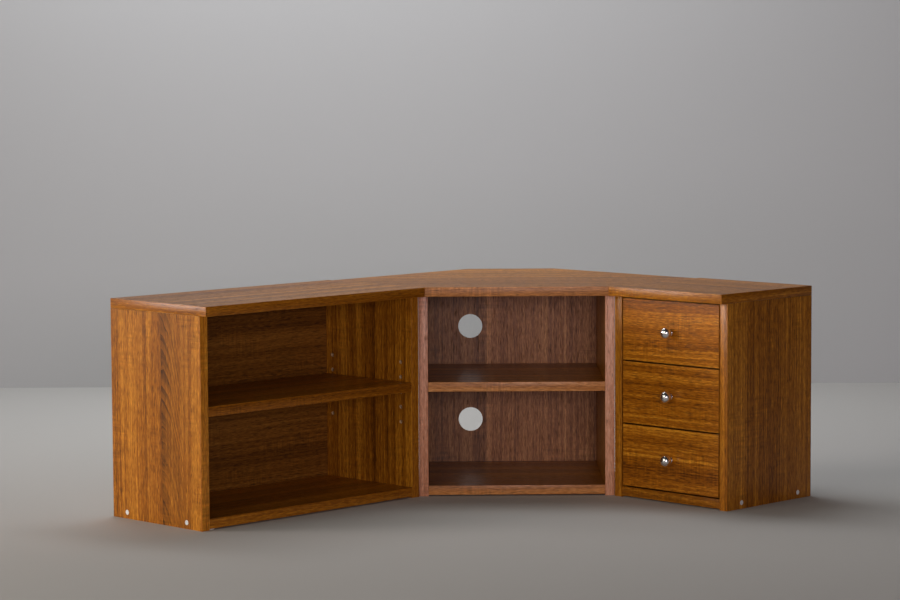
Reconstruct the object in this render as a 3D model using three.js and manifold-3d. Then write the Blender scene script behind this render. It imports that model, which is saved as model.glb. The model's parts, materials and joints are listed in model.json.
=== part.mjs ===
// Corner media unit of wood-grain board: an open bookcase on the left, a corner cabinet with two
// cable holes in the middle and a three-drawer cabinet on the right, standing side by side.
// Millimetres, +Z up. The floor is z = 0 and the origin is under the middle of the unit's outline.
//
// Each cabinet is built in a frame of its own: x runs along its front, y runs from the front edge
// of its top towards the wall, z is up. The outer two are turned 45 degrees towards each other.
import * as THREE from 'three';
import { mergeVertices } from 'three/addons/utils/BufferGeometryUtils.js';
import Module from 'manifold-3d';

// ---- Driving dimensions: the boards ----
const HEIGHT = 450; // floor to the upper face of every top
const BOARD = 20; // tops, sides, shelves, bottoms and drawer fronts
const BACK_BOARD = 5; // thin panels that close the backs
const FIT = 0.3; // clearance between pieces that touch
const OVERHANG = 20; // how far each top stands in front of its sides
const FLOOR_GAP = 3; // the bottoms are this far above the floor
const GROOVE = 6; // depth of the grooves that hold the back panels

// ---- Driving dimensions: the outer two cabinets ----
const DEPTH = 300; // from the top's front edge to the wall
const BACK_FACE = 286; // room side of the back panel, from the top's front edge
const BOOKCASE_LENGTH = 606;
const DRAWERS_LENGTH = 308;
const SEAM = 1; // gap between neighbouring tops
const TURN = Math.PI / 4; // how far each outer cabinet is turned

// ---- Driving dimensions: the corner cabinet ----
const CORNER_FRONT = 388; // length of its top's front edge
const CORNER_SHOULDER = 397; // from the middle to where its top is widest
const CORNER_TAIL = 98; // half of the short edge at the back of its top
const CORNER_CASE = 417.4; // width over the sides
const CORNER_SIDE_BACK = 391; // back edge of its sides, from the top's front edge
const CORNER_BACK_FACE = 380; // room side of its back panel
const CORNER_SHELF_TOP = 245;
const CABLE_HOLE_R = 27;
const CABLE_HOLE_X = -94.5; // both cable holes are left of the middle
const CABLE_HOLES_Z = [119, 330];

// ---- Driving dimensions: shelf pins, on the 32 mm system ----
const PIN_R = 2.5;
const PIN_LENGTH = 16;
const PIN_DEPTH = 8; // how much of a pin is in the side
const PIN_COLUMNS = [54, 267]; // distances from the top's front edge
const PIN_PITCH = 32;
const PIN_MIDDLE = 225; // height of the middle hole of five, which holds the shelf
const PIN_STEPS = [-2, -1, 0, 1, 2];
const SHELF_PLAY = 1; // the loose shelf is this much short at each end and at the back

// ---- Driving dimensions: screws through the sides into the bottoms ----
const SCREW = { headR: 5, headH: 1.2, taper: 2.4, shankR: 3.4, shankEnd: 16, coreR: 3, length: 48 };
const SCREW_FROM_FRONT = 48; // from the side's front edge
const SCREW_FROM_BACK = 44; // from the side's back edge
const CUT_PAST = 2; // how far a cutter runs past the face that it opens

// ---- Driving dimensions: drawers ----
const DRAWER_NAMES = ['drawer_bottom', 'drawer_middle', 'drawer_top'];
const FRONT_GAP = 3; // round each drawer front
const GAP_UNDER_TOP = 4;
const BOX_PLAY = 4; // between the drawer's side and the cabinet's side
const BOX_BOARD = 14;
const BOX_RISE = 12; // from the front's lower edge up to the box
const BOX_HEIGHT = 100;
const BOX_BACK = 275; // rear of the box, from the top's front edge
const BOX_BACK_BOARD = 12;
const TRAY = 4; // thickness of the drawer's bottom panel
const TRAY_RISE = 10; // from the box's lower edge up to the panel
const TRAY_GROOVE = 4.6;
const RUNNER = { thick: 10, high: 16, front: 43, back: 278, play: 0.6 };
const KNOB_SCREW = { headR: 4, headH: 2.6, shankR: 2, length: 30 };
const KNOB = { footR: 7, neckR: 5.4, headR: 12, headStart: 5.2, widest: 14.5, reach: 25, boreDepth: 11 };

// ---- Finishes ----
const FINISHES = {
  laminate: { color: 0x8f5a33, roughness: 0.45, metalness: 0 },
  backLaminate: { color: 0x7d4f2e, roughness: 0.5, metalness: 0 },
  boxBoard: { color: 0x9c6b43, roughness: 0.55, metalness: 0 },
  chrome: { color: 0xd8d8dc, roughness: 0.08, metalness: 1 },
  steel: { color: 0xc2c2c0, roughness: 0.35, metalness: 1 },
  plastic: { color: 0x4a3424, roughness: 0.6, metalness: 0 },
};

// ---- Making and cutting shapes ----
const wasm = await Module();
wasm.setup();

function toSolid(geometry) {
  const bare = geometry.clone();
  bare.deleteAttribute('normal');
  bare.deleteAttribute('uv');
  const merged = mergeVertices(bare);
  const corners = merged.index.array;
  const triangles = [];
  for (let i = 0; i < corners.length; i += 3) {
    const [a, b, c] = corners.slice(i, i + 3);
    if (a !== b && b !== c && c !== a) triangles.push(a, b, c);
  }
  return new wasm.Manifold(new wasm.Mesh({
    numProp: 3,
    vertProperties: new Float32Array(merged.attributes.position.array),
    triVerts: new Uint32Array(triangles),
  }));
}

function toGeometry(solid) {
  const { vertProperties, triVerts } = solid.getMesh();
  const geometry = new THREE.BufferGeometry();
  geometry.setAttribute('position', new THREE.BufferAttribute(vertProperties, 3));
  geometry.setIndex(new THREE.BufferAttribute(triVerts, 1));
  geometry.computeVertexNormals();
  return geometry;
}

function cutAway(geometry, cutters) {
  let solid = toSolid(geometry);
  for (const cutter of cutters) solid = solid.subtract(toSolid(cutter));
  return toGeometry(solid);
}

function boxBetween(low, high) {
  const size = high.map((value, axis) => value - low[axis]);
  const geometry = new THREE.BoxGeometry(...size);
  return geometry.translate(...low.map((value, axis) => value + size[axis] / 2));
}

// A shape turned about a line: profile points are [radius, distance along the line].
function turned(profile, segments) {
  return new THREE.LatheGeometry(profile.map(([r, h]) => new THREE.Vector2(r, h)), segments);
}

function turnTowards(direction) {
  const lathe = new THREE.Vector3(0, 1, 0);
  return new THREE.Quaternion().setFromUnitVectors(lathe, new THREE.Vector3(...direction));
}

function turnedAt(profile, segments, place, direction) {
  const geometry = turned(profile, segments).applyQuaternion(turnTowards(direction));
  return geometry.translate(...place);
}

// A plain round cutter, from one point along a direction.
function drill(radius, length, segments, place, direction) {
  return turnedAt([[0, 0], [radius, 0], [radius, length], [0, length]], segments, place, direction);
}

// ---- Adding pieces to a cabinet ----
function addMesh(group, name, finish, geometry) {
  const mesh = new THREE.Mesh(geometry, new THREE.MeshStandardMaterial(FINISHES[finish]));
  mesh.name = name;
  group.add(mesh);
  return mesh;
}

// A board between two corners, with cutters given in the cabinet's frame.
function addBoard(group, name, finish, low, high, cutters = []) {
  const size = high.map((value, axis) => value - low[axis]);
  let geometry = boxBetween([0, 0, 0], size);
  if (cutters.length) {
    const back = low.map((value) => -value);
    geometry = cutAway(geometry, cutters.map((cutter) => cutter.clone().translate(...back)));
  }
  addMesh(group, name, finish, geometry).position.set(...low);
}

function addTurned(group, name, finish, profile, segments, place, direction) {
  const mesh = addMesh(group, name, finish, turned(profile, segments));
  mesh.position.set(...place);
  mesh.quaternion.copy(turnTowards(direction));
}

// ---- Screws and pins ----
function screwProfile(extra, pastHead) {
  const coneEnd = SCREW.headH + SCREW.taper;
  return [
    [0, -pastHead],
    [SCREW.headR + extra, -pastHead],
    [SCREW.headR + extra, SCREW.headH],
    [SCREW.shankR + extra, coneEnd],
    [SCREW.shankR + extra, SCREW.shankEnd + extra],
    [SCREW.coreR + extra, SCREW.shankEnd + extra],
    [SCREW.coreR + extra, SCREW.length + extra],
    [0, SCREW.length + extra],
  ];
}

function pinProfile() {
  return [[0, 0], [PIN_R, 0], [PIN_R, PIN_LENGTH], [0, PIN_LENGTH]];
}

// ---- A case: two sides, a bottom and a back panel, held by four screws ----
function addCase(group, prefix, sides, start, end, frontY, backY, panelY, drilling = []) {
  const inner = [start + BOARD, end - BOARD];
  const top = HEIGHT - BOARD - FIT;
  const ends = [
    {
      name: sides[0], outer: start, low: start, inward: [1, 0, 0],
      groove: [inner[0] - GROOVE, inner[0] + CUT_PAST],
    },
    {
      name: sides[1], outer: end, low: inner[1], inward: [-1, 0, 0],
      groove: [inner[1] - CUT_PAST, inner[1] + GROOVE],
    },
  ];
  const rows = { front: frontY + SCREW_FROM_FRONT, rear: backY - SCREW_FROM_BACK };
  const screwZ = FLOOR_GAP + BOARD / 2;
  const screwCutters = [];
  for (const { outer, inward, name } of ends) {
    for (const [row, y] of Object.entries(rows)) {
      const place = [outer, y, screwZ];
      screwCutters.push(turnedAt(screwProfile(FIT, CUT_PAST), 12, place, inward));
      addTurned(group, `${prefix}_${name}_screw_${row}`, 'steel', screwProfile(0, 0), 12, place, inward);
    }
  }
  for (const { name, low, groove: [grooveLow, grooveHigh] } of ends) {
    const groove = boxBetween(
      [grooveLow, panelY - FIT, -CUT_PAST], [grooveHigh, panelY + BACK_BOARD + FIT, HEIGHT],
    );
    addBoard(
      group, `${prefix}_${name}`, 'laminate',
      [low, frontY, 0], [low + BOARD, backY, top], [groove, ...screwCutters, ...drilling],
    );
  }
  addBoard(
    group, `${prefix}_bottom`, 'laminate',
    [inner[0] + FIT, frontY, FLOOR_GAP], [inner[1] - FIT, panelY - FIT, FLOOR_GAP + BOARD],
    screwCutters,
  );
}

function addBackPanel(group, prefix, start, end, panelY, cutters = []) {
  const reach = GROOVE - FIT - BOARD;
  addBoard(
    group, `${prefix}_back`, 'backLaminate',
    [start - reach, panelY, FLOOR_GAP],
    [end + reach, panelY + BACK_BOARD, HEIGHT - BOARD - FIT],
    cutters,
  );
}

function addStraightTop(group, prefix, length) {
  addBoard(group, `${prefix}_top`, 'laminate', [0, 0, HEIGHT - BOARD], [length, DEPTH, HEIGHT]);
}

// ---- Left: open bookcase with one loose shelf on four pins ----
function buildBookcase() {
  const group = new THREE.Group();
  const inner = [BOARD, BOOKCASE_LENGTH - BOARD];
  const pinHoles = [];
  for (const y of PIN_COLUMNS) {
    for (const step of PIN_STEPS) {
      const z = PIN_MIDDLE + step * PIN_PITCH;
      const depth = PIN_DEPTH + 1;
      for (const [x, out] of [[inner[0] - depth, 1], [inner[1] + depth, -1]]) {
        pinHoles.push(drill(PIN_R + FIT, depth + CUT_PAST, 10, [x, y, z], [out, 0, 0]));
      }
    }
  }
  addCase(
    group, 'left', ['outer_side', 'inner_side'], 0, BOOKCASE_LENGTH, OVERHANG, DEPTH, BACK_FACE,
    pinHoles,
  );
  addBackPanel(group, 'left', 0, BOOKCASE_LENGTH, BACK_FACE);
  addStraightTop(group, 'left', BOOKCASE_LENGTH);
  const shelfZ = PIN_MIDDLE + PIN_R + FIT;
  addBoard(
    group, 'left_shelf', 'laminate',
    [inner[0] + SHELF_PLAY, OVERHANG, shelfZ],
    [inner[1] - SHELF_PLAY, BACK_FACE - SHELF_PLAY, shelfZ + BOARD],
  );
  const pinRows = { front: PIN_COLUMNS[0], rear: PIN_COLUMNS[1] };
  for (const [row, y] of Object.entries(pinRows)) {
    const outer = [inner[0] - PIN_DEPTH, y, PIN_MIDDLE];
    const toCorner = [inner[1] + PIN_DEPTH, y, PIN_MIDDLE];
    addTurned(group, `left_shelf_pin_outer_${row}`, 'steel', pinProfile(), 10, outer, [1, 0, 0]);
    addTurned(group, `left_shelf_pin_inner_${row}`, 'steel', pinProfile(), 10, toCorner, [-1, 0, 0]);
  }
  return group;
}

// ---- Middle: corner cabinet with a six-sided top, a fixed shelf and two cable holes ----
function cornerTopShape() {
  const half = CORNER_FRONT / 2;
  const shoulderY = CORNER_SHOULDER - half; // its side edges run at 45 degrees
  const tailY = shoulderY + CORNER_SHOULDER - CORNER_TAIL; // and so do its back edges
  const rightHalf = [[half, 0], [CORNER_SHOULDER, shoulderY], [CORNER_TAIL, tailY]];
  const leftHalf = rightHalf.map(([x, y]) => [-x, y]).reverse();
  return new THREE.Shape([...rightHalf, ...leftHalf].map(([x, y]) => new THREE.Vector2(x, y)));
}

function buildCornerCabinet() {
  const group = new THREE.Group();
  const start = -CORNER_CASE / 2;
  const end = CORNER_CASE / 2;
  addCase(
    group, 'centre', ['left_side', 'right_side'], start, end, OVERHANG, CORNER_SIDE_BACK,
    CORNER_BACK_FACE,
  );
  const holes = CABLE_HOLES_Z.map((z) => drill(
    CABLE_HOLE_R, BACK_BOARD + 2 * CUT_PAST, 32, [CABLE_HOLE_X, CORNER_BACK_FACE - CUT_PAST, z],
    [0, 1, 0],
  ));
  addBackPanel(group, 'centre', start, end, CORNER_BACK_FACE, holes);
  addBoard(
    group, 'centre_shelf', 'laminate',
    [start + BOARD + FIT, OVERHANG, CORNER_SHELF_TOP - BOARD],
    [end - BOARD - FIT, CORNER_BACK_FACE - FIT, CORNER_SHELF_TOP],
  );
  const top = new THREE.ExtrudeGeometry(cornerTopShape(), { depth: BOARD, bevelEnabled: false });
  addMesh(group, 'centre_top', 'laminate', top).position.z = HEIGHT - BOARD;
  return group;
}

// ---- Right: drawer cabinet ----
function addRunners(group, drawer, z) {
  const inner = [BOARD, DRAWERS_LENGTH - BOARD];
  const sides = { left: inner[0] + FIT, right: inner[1] - RUNNER.thick };
  for (const [side, x] of Object.entries(sides)) {
    addBoard(
      group, `${drawer}_runner_${side}`, 'plastic',
      [x, RUNNER.front, z - RUNNER.high / 2],
      [x + RUNNER.thick - FIT, RUNNER.back, z + RUNNER.high / 2],
    );
  }
}

// Head against the inner face of the front, shank through the front into the knob.
function addKnob(group, drawer, x, z) {
  const { headR, headH, shankR, length } = KNOB_SCREW;
  const screw = [[0, -headH], [headR, -headH], [headR, 0], [shankR, 0], [shankR, length], [0, length]];
  const screwAt = [x, OVERHANG + BOARD + FIT, z];
  addTurned(group, `${drawer}_knob_screw`, 'steel', screw, 12, screwAt, [0, -1, 0]);
  const bore = shankR + FIT;
  const profile = [
    [0, KNOB.boreDepth],
    [bore, KNOB.boreDepth],
    [bore, 0],
    [KNOB.footR, 0],
    [KNOB.footR, 1.5],
    [KNOB.neckR, 4.5],
    [KNOB.neckR, KNOB.headStart],
  ];
  for (const degrees of [-60, -35, -10, 10, 30, 50, 70, 90]) {
    const angle = (degrees / 180) * Math.PI;
    const rise = degrees < 0 ? KNOB.widest - KNOB.headStart : KNOB.reach - KNOB.widest;
    const radius = degrees === 90 ? 0 : KNOB.headR * Math.cos(angle);
    profile.push([radius, KNOB.widest + rise * Math.sin(angle)]);
  }
  addTurned(group, `${drawer}_knob`, 'chrome', profile, 20, [x, OVERHANG - FIT, z], [0, -1, 0]);
}

function addDrawer(group, drawer, frontLow, frontHigh) {
  const frontX = [BOARD + FRONT_GAP, DRAWERS_LENGTH - BOARD - FRONT_GAP];
  const outerX = [BOARD + BOX_PLAY, DRAWERS_LENGTH - BOARD - BOX_PLAY];
  const innerX = [outerX[0] + BOX_BOARD, outerX[1] - BOX_BOARD];
  const boxFront = OVERHANG + BOARD;
  const boxLow = frontLow + BOX_RISE;
  const boxHigh = boxLow + BOX_HEIGHT;
  const middleX = DRAWERS_LENGTH / 2;
  const middleZ = (frontLow + frontHigh) / 2;
  const runnerZ = boxLow + BOX_HEIGHT / 2;
  const trayLow = boxLow + TRAY_RISE;
  const knobHole = drill(
    KNOB_SCREW.shankR + FIT, BOARD + 2 * CUT_PAST, 12, [middleX, OVERHANG - CUT_PAST, middleZ],
    [0, 1, 0],
  );
  const trayGroove = boxBetween(
    [innerX[0] - TRAY_GROOVE, boxFront - TRAY_GROOVE, trayLow - FIT],
    [innerX[1] + TRAY_GROOVE, BOX_BACK + CUT_PAST, trayLow + TRAY + FIT],
  );
  addBoard(
    group, `${drawer}_front`, 'laminate',
    [frontX[0], OVERHANG, frontLow], [frontX[1], boxFront, frontHigh], [trayGroove, knobHole],
  );
  const railDepth = RUNNER.thick - BOX_PLAY + RUNNER.play;
  const railHalf = RUNNER.high / 2 + RUNNER.play;
  const sides = {
    left: { low: outerX[0], rail: [outerX[0] - CUT_PAST, outerX[0] + railDepth] },
    right: { low: innerX[1], rail: [outerX[1] - railDepth, outerX[1] + CUT_PAST] },
  };
  for (const [side, { low, rail }] of Object.entries(sides)) {
    const railGroove = boxBetween(
      [rail[0], boxFront - CUT_PAST, runnerZ - railHalf],
      [rail[1], BOX_BACK + CUT_PAST, runnerZ + railHalf],
    );
    addBoard(
      group, `${drawer}_${side}_side`, 'boxBoard',
      [low, boxFront + FIT, boxLow], [low + BOX_BOARD, BOX_BACK, boxHigh], [trayGroove, railGroove],
    );
  }
  addBoard(
    group, `${drawer}_back`, 'boxBoard',
    [innerX[0] + FIT, BOX_BACK - BOX_BACK_BOARD, trayLow + TRAY + FIT],
    [innerX[1] - FIT, BOX_BACK, boxHigh],
  );
  const trayReach = TRAY_GROOVE - 2 * FIT;
  addBoard(
    group, `${drawer}_tray`, 'boxBoard',
    [innerX[0] - trayReach, boxFront - trayReach, trayLow],
    [innerX[1] + trayReach, BOX_BACK, trayLow + TRAY],
  );
  addKnob(group, drawer, middleX, middleZ);
  addRunners(group, drawer, runnerZ);
}

function buildDrawerCabinet() {
  const group = new THREE.Group();
  addCase(
    group, 'right', ['inner_side', 'outer_side'], 0, DRAWERS_LENGTH, OVERHANG, DEPTH, BACK_FACE,
  );
  addBackPanel(group, 'right', 0, DRAWERS_LENGTH, BACK_FACE);
  addStraightTop(group, 'right', DRAWERS_LENGTH);
  const lowest = FLOOR_GAP + BOARD + FRONT_GAP;
  const highest = HEIGHT - BOARD - GAP_UNDER_TOP;
  const count = DRAWER_NAMES.length;
  const frontHeight = (highest - lowest - (count - 1) * FRONT_GAP) / count;
  DRAWER_NAMES.forEach((drawer, index) => {
    const low = lowest + index * (frontHeight + FRONT_GAP);
    addDrawer(group, drawer, low, low + frontHeight);
  });
  return group;
}

// ---- The three cabinets side by side ----
function buildUnit() {
  const unit = new THREE.Group();
  const half = CORNER_FRONT / 2;
  const bookcase = buildBookcase();
  const lengthways = new THREE.Vector2(Math.cos(TURN), Math.sin(TURN));
  bookcase.rotation.z = TURN;
  bookcase.position.set(
    -half - (BOOKCASE_LENGTH + SEAM) * lengthways.x, -(BOOKCASE_LENGTH + SEAM) * lengthways.y, 0,
  );
  const drawers = buildDrawerCabinet();
  drawers.rotation.z = -TURN;
  drawers.position.set(half + SEAM * lengthways.x, -SEAM * lengthways.y, 0);
  unit.add(bookcase, buildCornerCabinet(), drawers);
  unit.updateMatrixWorld(true);
  const middle = new THREE.Box3().setFromObject(unit, true).getCenter(new THREE.Vector3());
  unit.position.set(-middle.x, -middle.y, 0);
  return unit;
}

export default buildUnit();
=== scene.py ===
"""The looks of a corner media unit: three cabinets of walnut-coloured laminate board.

Lengths are in metres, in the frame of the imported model. Each cabinet's boards are made in the
cabinet's own frame (x along its front, y towards the wall, z up) and then turned into place.
"""

import json
import math
import random

import bmesh
import bpy
from mathutils import Matrix, Vector

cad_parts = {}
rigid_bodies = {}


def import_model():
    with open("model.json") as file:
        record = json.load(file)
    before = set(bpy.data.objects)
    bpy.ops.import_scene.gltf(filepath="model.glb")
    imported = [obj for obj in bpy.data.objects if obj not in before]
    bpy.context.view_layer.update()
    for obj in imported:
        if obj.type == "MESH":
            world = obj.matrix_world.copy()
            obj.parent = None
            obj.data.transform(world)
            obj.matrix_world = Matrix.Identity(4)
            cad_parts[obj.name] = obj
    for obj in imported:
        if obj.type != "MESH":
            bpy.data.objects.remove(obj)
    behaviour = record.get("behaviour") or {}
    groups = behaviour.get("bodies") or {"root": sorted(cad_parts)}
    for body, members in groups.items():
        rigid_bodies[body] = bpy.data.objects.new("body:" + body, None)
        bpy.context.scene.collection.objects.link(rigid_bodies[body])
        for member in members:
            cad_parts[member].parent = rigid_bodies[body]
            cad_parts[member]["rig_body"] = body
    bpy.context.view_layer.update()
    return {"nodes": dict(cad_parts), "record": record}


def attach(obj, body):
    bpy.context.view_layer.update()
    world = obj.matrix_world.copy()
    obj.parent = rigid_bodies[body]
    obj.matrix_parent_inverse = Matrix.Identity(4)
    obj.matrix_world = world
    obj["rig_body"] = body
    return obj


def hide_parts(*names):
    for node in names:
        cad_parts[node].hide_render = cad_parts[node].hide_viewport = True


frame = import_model()
MM = 0.001

# ---- Boards ----
BAND = 0.9 * MM  # thickness of the edge banding, seen as a line round each face
ROUNDING = 0.45 * MM  # radius of the boards' edges
THIN_ROUNDING = 0.3 * MM
FIT = 0.3 * MM  # clearance round a piece that sits in a groove or hole
PAST = 2 * MM  # how far a cutter runs past the face that it opens
ROUNDED_ANGLE = math.radians(20)  # edges of a board's prism that turn more are rounded
BOARD_SHARP_ANGLE = math.radians(32)
PIECE_SHARP_ANGLE = math.radians(35)
TURNS = {"left": math.radians(45), "centre": 0.0, "right": math.radians(-45)}
X, Y, Z = 0, 1, 2
SEED = 11
rng = random.Random(SEED)


# ---- Small helpers on frames and boxes ----
def cabinet_of(node):
    prefix = node.split("_")[0]
    return "right" if prefix == "drawer" else prefix


def placing(node):
    """Turns points of the cabinet's own frame into the row frame."""
    return Matrix.Rotation(TURNS[cabinet_of(node)], 4, "Z")


def local_points(node):
    back = placing(node).inverted()
    return [back @ v.co for v in frame["nodes"][node].data.vertices]


def local_box(node, grow=0.0):
    points = local_points(node)
    low = Vector([min(p[axis] for p in points) - grow for axis in range(3)])
    high = Vector([max(p[axis] for p in points) + grow for axis in range(3)])
    return low, high


def body_of_node(node):
    return frame["nodes"][node]["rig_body"]


def unit(axis, sign=1.0):
    return Vector([sign if axis == i else 0.0 for i in range(3)])


# ---- Node trees ----
class Tree:
    """A thin wrapper that makes and links shader nodes."""

    def __init__(self, name):
        self.material = bpy.data.materials.new(name)
        self.material.use_nodes = True
        self.nodes = self.material.node_tree.nodes
        self.links = self.material.node_tree.links
        self.nodes.clear()
        self.output = self.nodes.new("ShaderNodeOutputMaterial")

    def feed(self, socket, value):
        if isinstance(value, bpy.types.NodeSocket):
            self.links.new(value, socket)
        elif value is not None:
            socket.default_value = value

    def math(self, operation, a, b=None, clamp=False):
        node = self.nodes.new("ShaderNodeMath")
        node.operation = operation
        node.use_clamp = clamp
        self.feed(node.inputs[0], a)
        self.feed(node.inputs[1], b)
        return node.outputs[0]

    def join(self, x, y, z):
        node = self.nodes.new("ShaderNodeCombineXYZ")
        for socket, value in zip(node.inputs, (x, y, z)):
            self.feed(socket, value)
        return node.outputs[0]

    def split(self, vector):
        node = self.nodes.new("ShaderNodeSeparateXYZ")
        self.feed(node.inputs[0], vector)
        return node.outputs[:]

    def noise(self, vector, detail=2.0, roughness=0.5, scale=1.0):
        node = self.nodes.new("ShaderNodeTexNoise")
        self.feed(node.inputs["Vector"], vector)
        self.feed(node.inputs["Scale"], scale)
        self.feed(node.inputs["Detail"], detail)
        self.feed(node.inputs["Roughness"], roughness)
        return node.outputs[0]

    def ramp(self, factor, stops):
        node = self.nodes.new("ShaderNodeValToRGB")
        marks = node.color_ramp.elements
        while len(marks) < len(stops):
            marks.new(0.5)
        for mark, (place, tone) in zip(marks, stops):
            mark.position = place
            mark.color = tone
        self.feed(node.inputs[0], factor)
        return node.outputs[0]

    def mix(self, factor, a, b, blend="MIX"):
        node = self.nodes.new("ShaderNodeMix")
        node.data_type = "RGBA"
        node.blend_type = blend
        self.feed(node.inputs["Factor"], factor)
        self.feed(node.inputs["A"], a)
        self.feed(node.inputs["B"], b)
        return node.outputs["Result"]

    def attribute(self, name):
        node = self.nodes.new("ShaderNodeAttribute")
        node.attribute_name = name
        return node.outputs["Vector"]

    def bump(self, height, strength, distance):
        node = self.nodes.new("ShaderNodeBump")
        self.feed(node.inputs["Strength"], strength)
        self.feed(node.inputs["Distance"], distance)
        self.feed(node.inputs["Height"], height)
        return node.outputs[0]

    def surface(self, **values):
        node = self.nodes.new("ShaderNodeBsdfPrincipled")
        for name, value in values.items():
            self.feed(node.inputs[name.replace("_", " ")], value)
        self.links.new(node.outputs[0], self.output.inputs["Surface"])
        return self.material


def colour(red, green, blue):
    """A linear colour from the usual 0 to 255 numbers."""
    def linear(value):
        share = value / 255
        return share / 12.92 if share <= 0.04045 else ((share + 0.055) / 1.055) ** 2.4

    return (linear(red), linear(green), linear(blue), 1.0)


def darker(tone, share):
    return tuple(share * c for c in tone[:3]) + (1.0,)


# ---- Materials ----
# The noise layers of the printed grain: cycles per metre along and across it, and a shift.
LAYERS = {
    "wander": (1.6, 4.0, 0.0),
    "shiver": (11.0, 26.0, 1.7),
    "bands": (0.35, 42.0, 3.1),
    "plank": (0.2, 11.0, 4.2),
    "streak": (1.8, 230.0, 5.3),
    "dash": (62.0, 520.0, 7.9),
    "fibre": (150.0, 900.0, 9.4),
    "pore": (60.0, 560.0, 12.3),
    "rich": (1.4, 40.0, 21.9),
    "waves": (190.0, 18.0, 33.0),
    "patch": (9.0, 17.0, 37.0),
}
WANDER, SHIVER = 30 * MM, 2.5 * MM  # how far the grain's lines stray sideways
BANDS_TONE, STREAK_TONE, PLANK_TONE, DASH_TONE = 1.2, 0.95, 0.7, 1.1
PORE_LIMIT, PORE_RICHNESS, PORE_CRISPNESS = 0.66, 0.08, 10.0
FIBRE_SHADE, PORE_SHADE = 0.7, 0.38
FIGURE_CALM = 0.55  # how much the plain streaks fade inside the half arches
PLANK_CRISPNESS = 400.0
PATCH_LIMIT, PATCH_CRISPNESS = 0.51, 7.0
PORE_ROUGHNESS, FIBRE_RELIEF = 0.2, 0.5
GRAIN_BUMP, GRAIN_DEPTH = 0.4, 0.15 * MM


def laminate(name, dark, middle, light, figure=None, ripple=0.9, gloss=0.30, contrast=1.0,
             broad=1.0, dark_plank=None, shine=0.26):
    """Printed walnut grain: broad bands, streaks, dashes, pores and patches of cross ripple."""
    t = Tree(name)
    along, across, seed = t.split(t.attribute("grain"))

    def layer(kind, sideways, **noise):
        along_scale, across_scale, shift = LAYERS[kind]
        return t.noise(t.join(
            t.math("MULTIPLY", along, along_scale), t.math("MULTIPLY", sideways, across_scale),
            t.math("ADD", seed, shift),
        ), **noise)

    def swing(value, amount):
        return t.math("MULTIPLY", t.math("SUBTRACT", value, 0.5), amount)

    wander = swing(layer("wander", across), WANDER)
    shiver = swing(layer("shiver", across), SHIVER)
    lane = t.math("ADD", across, t.math("ADD", wander, shiver))
    bands = layer("bands", lane, roughness=0.6)
    plank = layer("plank", lane, detail=1.0)
    streak = layer("streak", lane, detail=1.0, roughness=0.6)
    dash = layer("dash", lane, detail=1.0, roughness=0.6)
    fibre = layer("fibre", lane, detail=1.0)
    pore = layer("pore", lane, detail=0.0)
    rich = layer("rich", lane, detail=1.0)
    tone = t.math("ADD", swing(bands, BANDS_TONE * contrast), swing(streak, STREAK_TONE * contrast))
    tone = t.math("ADD", tone, swing(plank, PLANK_TONE * broad))
    tone = t.math("ADD", tone, swing(dash, DASH_TONE * contrast))
    if figure:
        lines, zone = half_arches(t, along, across, seed, **figure)
        calm = t.math("SUBTRACT", 1.0, t.math("MULTIPLY", zone, FIGURE_CALM))
        tone = t.math("MULTIPLY", tone, calm)
    shade = t.math("ADD", tone, 0.5, clamp=True)
    base = t.ramp(shade, [(0.0, dark), (0.5, middle), (1.0, light)])
    limit = t.math("SUBTRACT", PORE_LIMIT, t.math("MULTIPLY", rich, PORE_RICHNESS))
    pore_mask = t.math("MULTIPLY", t.math("SUBTRACT", pore, limit), PORE_CRISPNESS, clamp=True)
    darkening = t.math("SUBTRACT", t.math("ADD", 1.0, swing(fibre, FIBRE_SHADE * contrast)),
                       t.math("MULTIPLY", pore_mask, PORE_SHADE * contrast))
    if figure:
        darkening = t.math("MULTIPLY", darkening, t.math("SUBTRACT", 1.0, lines))
    if dark_plank:
        edge_place, strength = dark_plank
        inside = t.math(
            "MULTIPLY", t.math("SUBTRACT", edge_place, lane), PLANK_CRISPNESS, clamp=True)
        plank_shade = t.math("SUBTRACT", 1.0, t.math("MULTIPLY", inside, strength))
        darkening = t.math("MULTIPLY", darkening, plank_shade)
    if ripple:
        waves = layer("waves", across, detail=1.0)
        patch = layer("patch", across, detail=1.0)
        patch_mask = t.math(
            "MULTIPLY", t.math("SUBTRACT", patch, PATCH_LIMIT), PATCH_CRISPNESS, clamp=True)
        darkening = t.math("ADD", darkening, t.math("MULTIPLY", swing(waves, ripple), patch_mask))
    shown = t.mix(1.0, base, t.join(darkening, darkening, darkening), "MULTIPLY")
    roughness = t.math("ADD", gloss, t.math("MULTIPLY", pore_mask, PORE_ROUGHNESS))
    relief = t.math("SUBTRACT", t.math("MULTIPLY", fibre, FIBRE_RELIEF), pore_mask)
    normal = t.bump(relief, GRAIN_BUMP, GRAIN_DEPTH)
    return t.surface(
        Base_Color=shown, Roughness=roughness, Normal=normal, Specular_IOR_Level=shine)


# The half-arch figure. Scales are in cycles per metre, or per ring for the thin lines.
DRIFT_SCALE, UNEVEN_SCALE, THIN_SCALE = (3.0, 8.0), (11.0, 30.0), (3.2, 1.5)
DRIFT_RINGS, UNEVEN_RINGS = 5.0, 1.2  # how many rings the two noises shift the figure by
RING_EDGE = 2.0  # the higher, the thinner the dark edge of each ring
FAINTEST_RING = 0.15
THIN_LIMIT, THIN_GAIN = 0.42, 1.5
ZONE_FADE, CORE_FADE, CORE_SHADE = 0.7, 5.0, 0.7


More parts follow.
